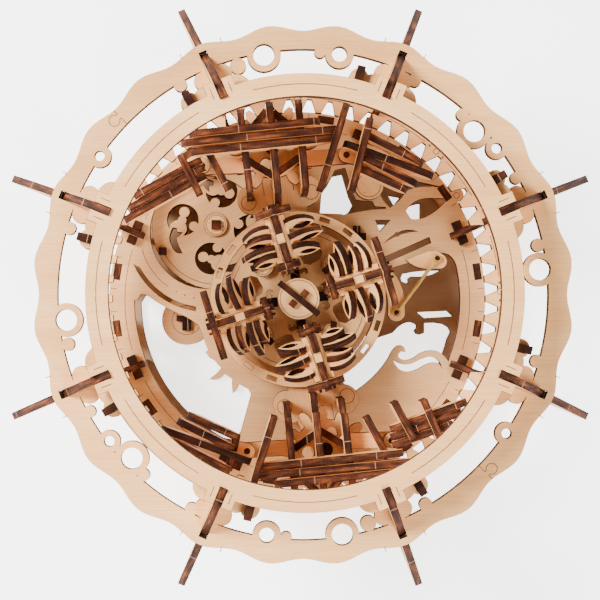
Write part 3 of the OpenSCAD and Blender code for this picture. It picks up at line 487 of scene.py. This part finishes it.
caps = Marks("corner_cap_lines", "rotor", "birch_plywood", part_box("corner_caps")[1].z - 2 * mm)
for i in range(4):
    caps.ring(polar(21.3, 46 + 90 * i), 4.1, 2, 90 * i)
caps.done()
hub = Marks("hub_cap_lines", "rotor", "birch_plywood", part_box("hub_cap")[1].z)
hub.arc(7.9, 0, 360)
hub.done()
plate = Marks("rotor_plate_lines", "rotor", "birch_plywood", rotor_top)
for i in range(4):
    plate.arc(29, 60 + 90 * i, 92 + 90 * i)
for turn in (100, 280):
    for side in (-1, 1):
        plate.radial(47, 60, turn, 6.5 * side)
    plate.ring(polar(47, turn + 17), 3.2, 0)
    plate.ring(polar(47, turn - 17), 3.2, 0)
plate.done()


# ------------------------------------------------------------ rubber
def peg_rings():
    """Rubber rings wound round each hook peg, below the ring's lobes."""
    low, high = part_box("peg_bands")
    ring_r = 3.25 * mm
    bm = bmesh.new()
    for i in range(8):
        x, y = polar(82.5 * scale * mm, 45 * i + 22.5 + 8.3)
        for z in (high.z - 0.9 * mm, low.z + 0.9 * mm):
            wire = [bm.verts.new((x + ring_r + 0.58 * mm * math.cos(t), y, z + 0.8 * mm * math.sin(t)))
                    for t in (2 * math.pi * j / 10 for j in range(10))]
            edges = [bm.edges.new((wire[j], wire[(j + 1) % 10])) for j in range(10)]
            bmesh.ops.spin(bm, geom=wire + edges, cent=(x, y, z), axis=(0, 0, 1), angle=2 * math.pi,
                           steps=28, use_merge=True)
    bmesh.ops.remove_doubles(bm, verts=bm.verts, dist=1e-6)
    bmesh.ops.recalc_face_normals(bm, faces=bm.faces)
    mesh = bpy.data.meshes.new("hook_peg_rubber")
    bm.to_mesh(mesh)
    bm.free()
    for p in mesh.polygons:
        p.use_smooth = True
    mesh.materials.append(latex)
    piece = bpy.data.objects.new("hook_peg_rubber", mesh)
    bpy.context.scene.collection.objects.link(piece)
    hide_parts("peg_bands")
    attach(piece, "frame")


def lever_band():
    """The band that pulls the lever's peg towards the hook's peg: an eye at each end and a strand."""
    low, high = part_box("rubber_band")
    a = Vector((*lever_tip, 0)) * scale * mm
    b = Vector((*hook_tip, 0)) * scale * mm
    a.z = b.z = (low.z + high.z) / 2
    run = (b - a).normalized()
    side = Vector((-run.y, run.x, 0))
    bm = bmesh.new()
    for centre, r in ((a, 1.7 * mm), (b, 1.35 * mm)):
        wire = [bm.verts.new(centre + (r + 0.36 * mm * math.cos(t)) * run
                             + Vector((0, 0, 0.5 * mm * math.sin(t))))
                for t in (2 * math.pi * j / 10 for j in range(10))]
        edges = [bm.edges.new((wire[j], wire[(j + 1) % 10])) for j in range(10)]
        bmesh.ops.spin(bm, geom=wire + edges, cent=centre, axis=(0, 0, 1), angle=2 * math.pi,
                       steps=24, use_merge=True)
    strand = []
    for step in range(25):
        along = a + 1.7 * mm * run + (step / 24) * ((b - a).length - 3.0 * mm) * run
        waist = 0.78 * mm + 0.06 * mm * math.cos(math.pi * step / 3)
        strand.append([bm.verts.new(along + waist * math.cos(t) * side
                                    + Vector((0, 0, 0.52 * mm * math.sin(t))))
                       for t in (2 * math.pi * j / 10 for j in range(10))])
    for one, two in zip(strand, strand[1:]):
        for j in range(10):
            bm.faces.new((one[j], one[(j + 1) % 10], two[(j + 1) % 10], two[j]))
    bm.faces.new(strand[0][::-1])
    bm.faces.new(strand[-1])
    bmesh.ops.remove_doubles(bm, verts=bm.verts, dist=1e-6)
    bmesh.ops.recalc_face_normals(bm, faces=bm.faces)
    mesh = bpy.data.meshes.new("lever_rubber_band")
    bm.to_mesh(mesh)
    bm.free()
    for p in mesh.polygons:
        p.use_smooth = True
    mesh.materials.append(latex)
    piece = bpy.data.objects.new("lever_rubber_band", mesh)
    bpy.context.scene.collection.objects.link(piece)
    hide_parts("rubber_band")
    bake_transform(piece)


peg_rings()
lever_band()


# ------------------------------------------------------------ floor, lights, camera
def stage_floor():
    bm = bmesh.new()
    bmesh.ops.create_grid(bm, x_segments=1, y_segments=1, size=20.0)
    bmesh.ops.translate(bm, vec=(0, 0, -0.0002), verts=bm.verts)
    mesh = bpy.data.meshes.new("floor")
    bm.to_mesh(mesh)
    bm.free()
    mat, tree, shader = new_material("pale floor")
    shader.inputs["Base Color"].default_value = (0.9, 0.9, 0.9, 1)
    shader.inputs["Roughness"].default_value = 0.9
    shader.inputs["Emission Color"].default_value = (1, 1, 1, 1)
    shader.inputs["Emission Strength"].default_value = 2.6
    mesh.materials.append(mat)
    floor = bpy.data.objects.new("floor", mesh)
    bpy.context.scene.collection.objects.link(floor)


def area_light(name, place, target, size, power):
    light = bpy.data.lights.new(name, "AREA")
    light.shape = "DISK"
    light.size = size
    light.energy = power
    lamp = bpy.data.objects.new(name, light)
    lamp.location = place
    lamp.rotation_euler = (Vector(target) - Vector(place)).to_track_quat("-Z", "Y").to_euler()
    bpy.context.scene.collection.objects.link(lamp)


stage_floor()
area_light("key", (-0.8, 0.35, 0.8), (0, 0, 0.08), 0.5, 45)
area_light("fill", (0.5, -0.75, 0.8), (0, 0, 0.08), 0.7, 22)
world = bpy.data.worlds.new("studio")
world.use_nodes = True
world.node_tree.nodes["Background"].inputs[0].default_value = (1, 1, 1, 1)
world.node_tree.nodes["Background"].inputs[1].default_value = 0.36
bpy.context.scene.world = world

camera_data = bpy.data.cameras.new("camera")
camera_data.sensor_width = 36
camera_data.lens = 73.8
camera_data.shift_x = 0.0667
camera_data.shift_y = 0.0567
camera_data.clip_start = 0.01
camera = bpy.data.objects.new("camera", camera_data)
camera.location = (-16.47 * mm, -15 * mm, crown_top + 450 * mm)
bpy.context.scene.collection.objects.link(camera)
bpy.context.scene.camera = camera
